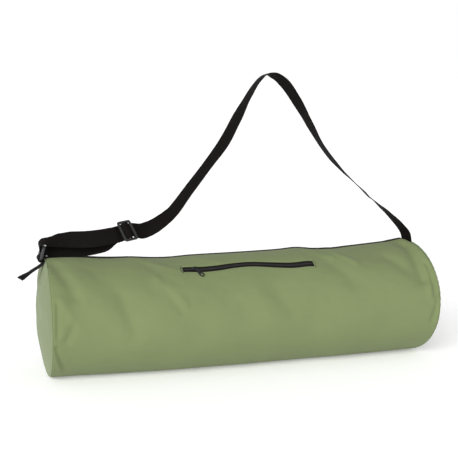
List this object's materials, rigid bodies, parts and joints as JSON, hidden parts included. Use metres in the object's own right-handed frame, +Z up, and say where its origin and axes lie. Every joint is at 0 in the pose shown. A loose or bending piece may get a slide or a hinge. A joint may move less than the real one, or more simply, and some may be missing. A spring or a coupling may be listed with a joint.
{
  "type": "yoga mat bag",
  "caption": "Cylindrical cloth mat bag lying on its side, with a full-length top zip, a zipped front pocket and an adjustable webbing shoulder strap standing in an arch.",
  "frame": {"origin": "on the floor, under the middle of the cloth tube, in the flat strip that the bag rests on", "axes": "+X along the bag from the ring end to the end where the strap is sewn, +Y to the back, -Y to the pocket side, +Z up"},
  "size_m": [0.7451, 0.2171, 0.5162],
  "materials": {
    "green_cloth": "plain woven cotton canvas, matt",
    "green_cloth_end": "plain woven cotton canvas, matt",
    "webbing": "woven webbing with a fine diagonal rib",
    "zip_tape": "woven zip tape",
    "zip_coil": "moulded nylon coil",
    "zip_metal": "black lacquered zinc, lightly worn",
    "buckle_plastic": "moulded plastic, satin"
  },
  "bodies": {
    "root": {"body_panel": "green_cloth", "end_panel_left": "green_cloth_end", "end_panel_right": "green_cloth_end", "main_zip_tape_front": "zip_tape", "main_zip_tape_back": "zip_tape", "main_zip_coil": "zip_coil", "pocket_zip_tape_upper": "zip_tape", "pocket_zip_tape_lower": "zip_tape", "pocket_zip_coil": "zip_coil", "main_zip_slider": "zip_metal", "main_zip_pull": "zip_metal", "pocket_zip_slider": "zip_metal", "pocket_zip_pull": "zip_metal", "shoulder_strap": "webbing", "strap_slider": "buckle_plastic", "strap_ring": "buckle_plastic", "anchor_loop": "webbing", "zip_end_tab": "webbing"}
  },
  "joints": []
}
